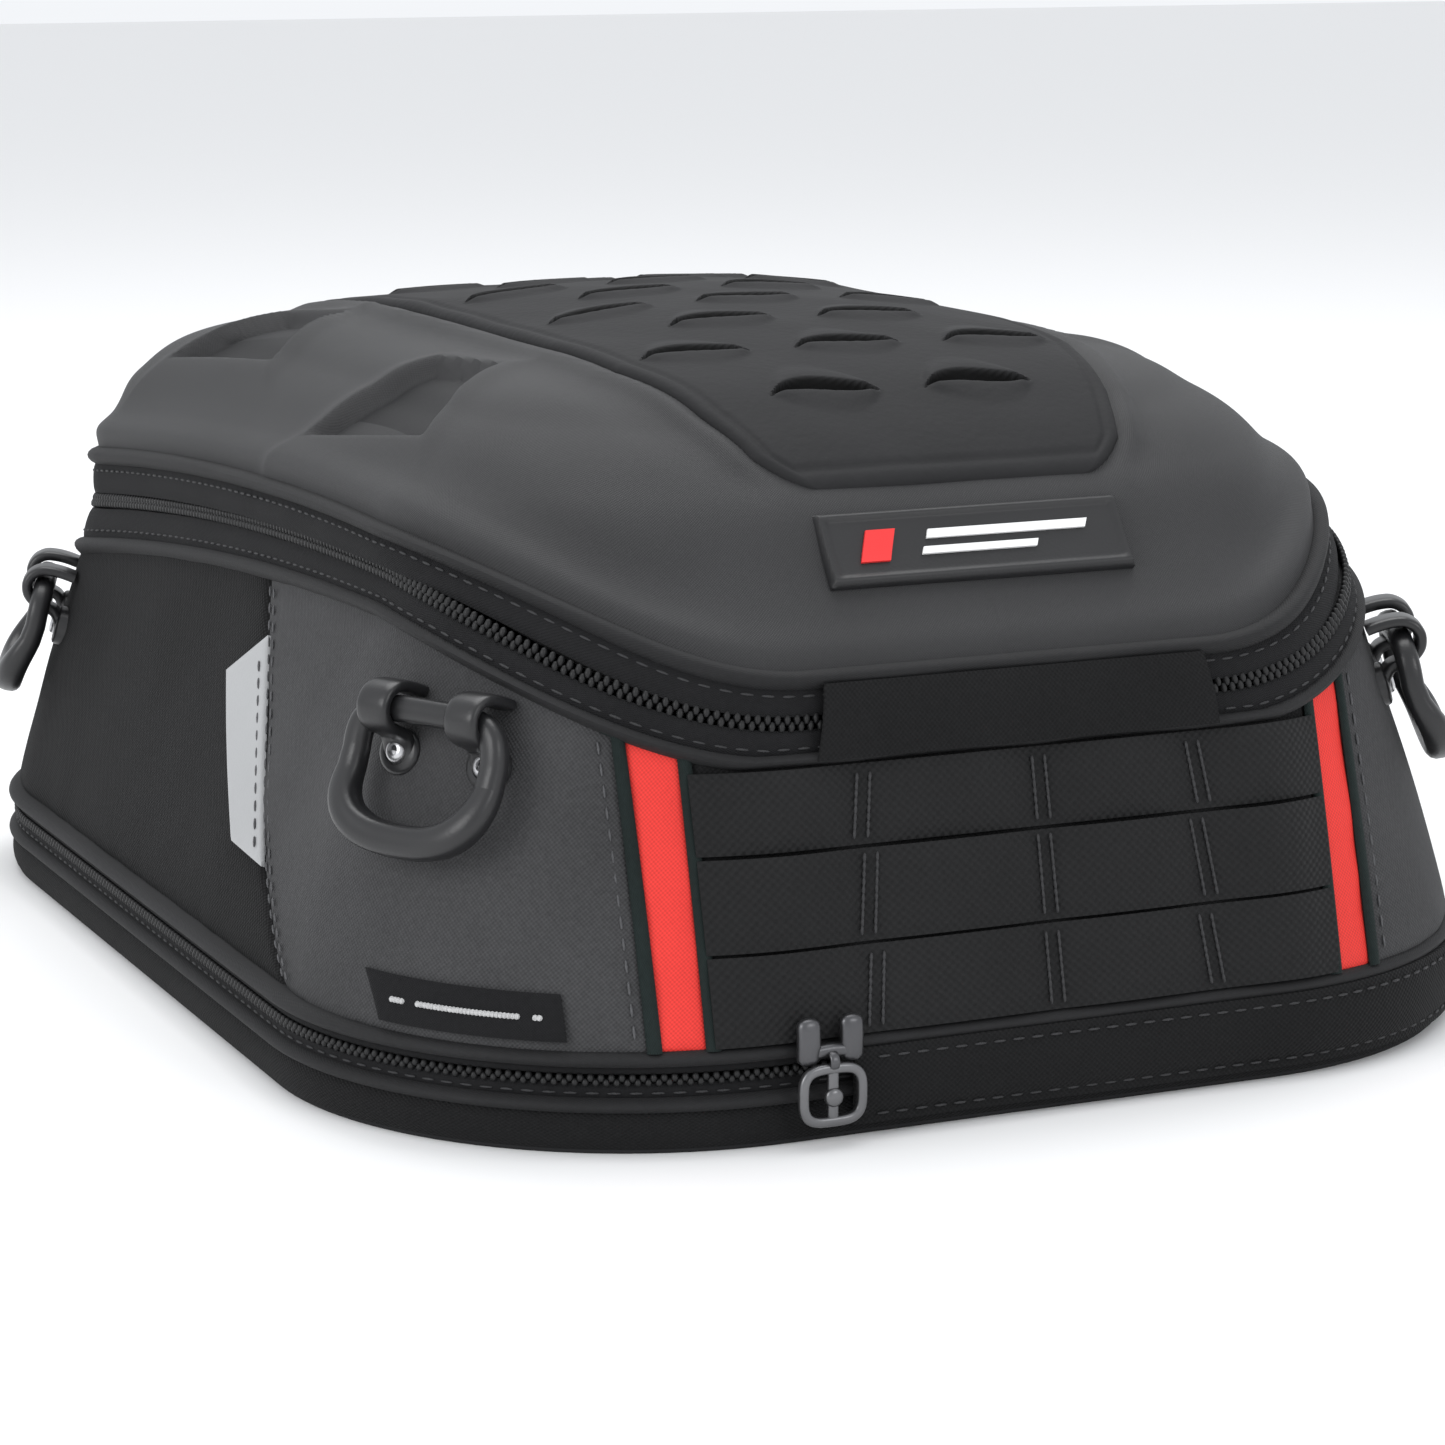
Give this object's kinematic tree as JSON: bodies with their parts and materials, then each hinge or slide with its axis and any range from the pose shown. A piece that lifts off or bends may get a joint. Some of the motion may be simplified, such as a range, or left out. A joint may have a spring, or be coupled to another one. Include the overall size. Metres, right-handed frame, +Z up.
{
  "type": "motorcycle tank bag",
  "caption": "Soft motorcycle tank bag with moulded hinged lid, expansion base zip, webbing front with red strips and hinged strap rings at the corners.",
  "frame": {"origin": "middle of the base outline, on the face the bag rests on", "axes": "+Z up, +Y along the bag's length away from the webbing end, +X to the right seen from the webbing end"},
  "size_m": [0.2938, 0.3872, 0.1605],
  "materials": {
    "grip_rubber": "fine ribbed non-slip",
    "stiffener_board": "matt",
    "floor_felt": "brushed",
    "black_canvas": "coarse plain weave",
    "piping": "corded binding",
    "zip_tape": "ribbed tape",
    "zip_coil": "nylon coil",
    "anthracite_fabric": "fine tight weave",
    "red_fabric": "smooth coated",
    "webbing": "ribbed webbing",
    "reflective": "retroreflective tape",
    "woven_label": "woven satin",
    "lining": "light lining",
    "mesh": "knitted mesh",
    "moulded_eva": "moulded fabric-faced foam",
    "pad_rubber": "fine textured",
    "badge_rubber": "moulded",
    "ring_plastic": "satin moulded",
    "screw_steel": "satin",
    "slider_metal": "gunmetal lacquer",
    "puller_metal": "gunmetal lacquer"
  },
  "bodies": {
    "base": {"anti_slip_underlay": "grip_rubber", "base_board": "stiffener_board", "floor_pad": "floor_felt", "base_band": "black_canvas", "base_piping": "piping", "base_zip_tape": "zip_tape", "base_zip_coil": "zip_coil", "expansion_gusset": "black_canvas"},
    "base_slider": {"base_zip_slider": "slider_metal"},
    "base_puller": {"base_zip_puller": "puller_metal"},
    "lid": {"lid_shell": "moulded_eva", "lid_lining": "lining", "lid_mesh_pocket": "mesh", "lid_zip_tape": "zip_tape", "lid_piping": "piping", "top_pad": "pad_rubber", "lid_badge": "badge_rubber"},
    "main_slider_left": {"main_zip_slider_left": "slider_metal"},
    "main_slider_right": {"main_zip_slider_right": "slider_metal"},
    "main_puller_left": {"main_zip_puller_left": "puller_metal"},
    "main_puller_right": {"main_zip_puller_right": "puller_metal"},
    "ring_front_left": {"strap_ring_front_left": "ring_plastic"},
    "ring_front_right": {"strap_ring_front_right": "ring_plastic"},
    "ring_rear_left": {"strap_ring_rear_left": "ring_plastic"},
    "ring_rear_right": {"strap_ring_rear_right": "ring_plastic"},
    "upper_body": {"body_zip_piping": "piping", "body_zip_tape": "zip_tape", "foot_piping": "piping", "front_panel": "black_canvas", "hinge_flap": "black_canvas", "inner_lining": "lining", "main_zip_coil": "zip_coil", "rear_panel": "black_canvas", "rear_side_wall_left": "black_canvas", "rear_side_wall_right": "black_canvas", "red_strip_left": "red_fabric", "red_strip_right": "red_fabric", "reflective_tab_left": "reflective", "reflective_tab_right": "reflective", "ring_clip_front_left": "ring_plastic", "ring_clip_front_right": "ring_plastic", "ring_clip_rear_left": "ring_plastic", "ring_clip_rear_right": "ring_plastic", "ring_screws": "screw_steel", "side_panel_left": "anthracite_fabric", "side_panel_right": "anthracite_fabric", "upper_base_tape": "zip_tape", "webbing_lower": "webbing", "webbing_middle": "webbing", "webbing_upper": "webbing", "woven_label": "woven_label"}
  },
  "joints": [
    {"name": "expansion_lift", "type": "slide", "parent": "base", "child": "upper_body", "axis": [0, 0, 1], "range_m": [0, 0.055]},
    {"name": "lid_hinge", "type": "hinge", "parent": "upper_body", "child": "lid", "pos_m": [0, -0.18, 0.0873], "axis": [1, 0, 0], "range_deg": [0, 105], "deforming": ["hinge_flap"]},
    {"name": "base_slider_travel", "type": "slide", "parent": "base", "child": "base_slider", "axis": [-1, 0, 0], "range_m": [0, 0.012]},
    {"name": "base_puller_swing", "type": "hinge", "parent": "base_slider", "child": "base_puller", "pos_m": [-0.052, -0.1948, 0.017], "axis": [-1, 0, 0], "range_deg": [0, 80]},
    {"name": "main_slider_left_travel", "type": "slide", "parent": "upper_body", "child": "main_slider_left", "axis": [-1, 0, 0], "range_m": [0, 0.033]},
    {"name": "main_puller_left_swing", "type": "hinge", "parent": "main_slider_left", "child": "main_puller_left", "pos_m": [-0.007, 0.1752, 0.085], "axis": [1, 0, 0], "range_deg": [0, 75]},
    {"name": "main_slider_right_travel", "type": "slide", "parent": "upper_body", "child": "main_slider_right", "axis": [1, 0, 0], "range_m": [0, 0.033]},
    {"name": "main_puller_right_swing", "type": "hinge", "parent": "main_slider_right", "child": "main_puller_right", "pos_m": [0.007, 0.1752, 0.085], "axis": [1, 0, 0], "range_deg": [0, 75]},
    {"name": "ring_front_left_swing", "type": "hinge", "parent": "upper_body", "child": "ring_front_left", "pos_m": [-0.12009, -0.14002, 0.08867], "axis": [-0.454, 0.891, 0], "range_deg": [0, 75]},
    {"name": "ring_front_right_swing", "type": "hinge", "parent": "upper_body", "child": "ring_front_right", "pos_m": [0.12009, -0.14002, 0.08867], "axis": [-0.454, -0.891, 0], "range_deg": [0, 75]},
    {"name": "ring_rear_left_swing", "type": "hinge", "parent": "upper_body", "child": "ring_rear_left", "pos_m": [-0.1292, 0.13156, 0.0762], "axis": [0.309, 0.9511, 0], "range_deg": [0, 75]},
    {"name": "ring_rear_right_swing", "type": "hinge", "parent": "upper_body", "child": "ring_rear_right", "pos_m": [0.1292, 0.13156, 0.0762], "axis": [0.309, -0.9511, 0], "range_deg": [0, 75]}
  ]
}
